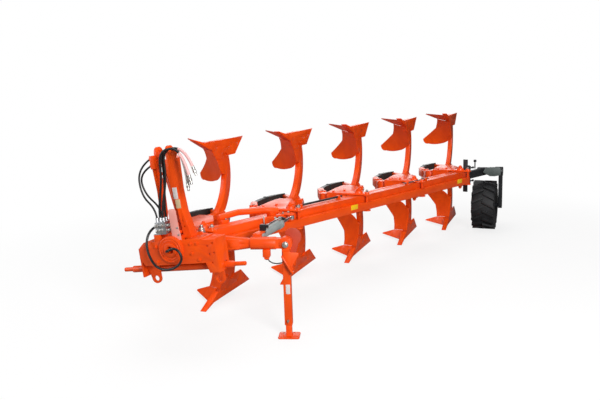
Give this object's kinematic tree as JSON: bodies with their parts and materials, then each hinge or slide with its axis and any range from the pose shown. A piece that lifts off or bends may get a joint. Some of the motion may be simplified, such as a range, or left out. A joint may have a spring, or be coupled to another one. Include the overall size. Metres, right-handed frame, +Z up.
{
  "type": "plough",
  "caption": "Mounted reversible plough: slanting beam with paired mouldboard bodies above and below, tilted headstock, parking stand and rear depth wheel.",
  "frame": {"origin": "on the ground, in the middle of the plough's outline seen from above", "axes": "+Z up, -Y the way it travels, +X to the land side"},
  "size_m": [2.8837, 5.8746, 1.6791],
  "materials": {
    "red_paint": "gloss",
    "black_paint": "satin",
    "grey_paint": "satin",
    "spring_steel": "satin",
    "bright_steel": "satin",
    "valve_alloy": "satin",
    "tyre_rubber": "matte",
    "hose_rubber": "satin",
    "coupler_plastic": "gloss"
  },
  "bodies": {
    "headstock": {"headstock_frame": "red_paint", "hitch_shaft": "red_paint", "headstock_tower": "red_paint", "turnover_barrel": "red_paint", "turnover_rod": "bright_steel", "valve_block": "valve_alloy", "hose_couplers": "coupler_plastic", "loop_hose_1": "hose_rubber", "loop_hose_2": "hose_rubber", "parked_hose_1": "hose_rubber", "parked_hose_2": "hose_rubber", "parked_hose_3": "hose_rubber", "sleeved_hose": "hose_rubber"},
    "front_frame": {"turnover_shaft": "bright_steel", "front_frame": "red_paint", "front_arm": "red_paint"},
    "beam": {"main_beam": "red_paint", "beam_brace": "red_paint", "wheel_bracket": "black_paint"},
    "steering_rod": {"steering_rod": "red_paint"},
    "width_barrel": {"width_barrel": "grey_paint"},
    "width_rod": {"width_rod": "bright_steel"},
    "stand": {"stand_leg": "red_paint", "stand_foot": "red_paint"},
    "wheel_arm": {"wheel_arm": "black_paint"},
    "wheel": {"wheel_rim": "black_paint", "tyre": "tyre_rubber"},
    "body_1": {"leg_bracket_1": "red_paint", "legs_1": "red_paint", "mouldboards_1": "red_paint", "shares_1": "red_paint", "landsides_1": "red_paint", "springs_1": "spring_steel"},
    "body_2": {"leg_bracket_2": "red_paint", "legs_2": "red_paint", "mouldboards_2": "red_paint", "shares_2": "red_paint", "landsides_2": "red_paint", "springs_2": "spring_steel"},
    "body_3": {"leg_bracket_3": "red_paint", "legs_3": "red_paint", "mouldboards_3": "red_paint", "shares_3": "red_paint", "landsides_3": "red_paint", "springs_3": "spring_steel"},
    "body_4": {"leg_bracket_4": "red_paint", "legs_4": "red_paint", "mouldboards_4": "red_paint", "shares_4": "red_paint", "landsides_4": "red_paint", "springs_4": "spring_steel"},
    "body_5": {"leg_bracket_5": "red_paint", "legs_5": "red_paint", "mouldboards_5": "red_paint", "shares_5": "red_paint", "landsides_5": "red_paint", "springs_5": "spring_steel"}
  },
  "joints": [
    {"name": "turnover", "type": "hinge", "parent": "headstock", "child": "front_frame", "pos_m": [-0.76769, -2.7125, 0.829], "axis": [0, -1, 0], "range_deg": [0, 194]},
    {"name": "width_swing", "type": "hinge", "parent": "front_frame", "child": "beam", "pos_m": [-0.74769, -2.57671, 0.829], "axis": [0, 0, 1], "range_deg": [-5.3, 6.1]},
    {"name": "stand_swing", "type": "hinge", "parent": "front_frame", "child": "stand", "pos_m": [0.0722, -2.4125, 0.829], "axis": [0.284, -0.9588, 0], "range_deg": [0, 100]},
    {"name": "wheel_swing", "type": "hinge", "parent": "beam", "child": "wheel_arm", "pos_m": [1.2019, 2.19001, 0.829], "axis": [1, 0, 0], "range_deg": [0, 180]},
    {"name": "wheel_spin", "type": "hinge", "parent": "wheel_arm", "child": "wheel", "pos_m": [1.2019, 2.19001, 0.345], "axis": [1, 0, 0], "continuous": true},
    {"name": "body_1_swing", "type": "hinge", "parent": "beam", "child": "body_1", "pos_m": [-0.6928, -2.4425, 0.829], "axis": [0, 0, 1], "range_deg": [-6.2, 5.4]},
    {"name": "body_2_swing", "type": "hinge", "parent": "beam", "child": "body_2", "pos_m": [-0.2838, -1.4425, 0.829], "axis": [0, 0, 1], "range_deg": [-6.2, 5.4]},
    {"name": "body_3_swing", "type": "hinge", "parent": "beam", "child": "body_3", "pos_m": [0.1252, -0.4425, 0.829], "axis": [0, 0, 1], "range_deg": [-6.2, 5.4]},
    {"name": "body_4_swing", "type": "hinge", "parent": "beam", "child": "body_4", "pos_m": [0.5342, 0.5575, 0.829], "axis": [0, 0, 1], "range_deg": [-6.2, 5.4]},
    {"name": "body_5_swing", "type": "hinge", "parent": "beam", "child": "body_5", "pos_m": [0.9432, 1.5575, 0.829], "axis": [0, 0, 1], "range_deg": [-6.2, 5.4]},
    {"name": "steering_rod_swing", "type": "hinge", "parent": "body_1", "child": "steering_rod", "pos_m": [-0.58913, -2.4849, 0.829], "axis": [0, 0, 1], "range_deg": [-5.4, 6.2]},
    {"name": "width_barrel_swing", "type": "hinge", "parent": "front_frame", "child": "width_barrel", "pos_m": [-0.1778, -2.3525, 0.874], "axis": [0, 0, 1], "range_deg": [-6.9, 7.9]},
    {"name": "width_rod_slide", "type": "slide", "parent": "width_barrel", "child": "width_rod", "axis": [-0.04, 0.9992, 0], "range_m": [-0.055, 0.063]}
  ],
  "couplings": [
    {"joint": "body_1_swing", "follows": "width_swing", "ratio": -1},
    {"joint": "body_2_swing", "follows": "width_swing", "ratio": -1},
    {"joint": "body_3_swing", "follows": "width_swing", "ratio": -1},
    {"joint": "body_4_swing", "follows": "width_swing", "ratio": -1},
    {"joint": "body_5_swing", "follows": "width_swing", "ratio": -1},
    {"joint": "steering_rod_swing", "follows": "width_swing", "ratio": 1},
    {"joint": "width_barrel_swing", "follows": "width_swing", "ratio": 1.2716},
    {"joint": "width_rod_slide", "follows": "width_swing", "m_per_rad": 0.5784}
  ]
}
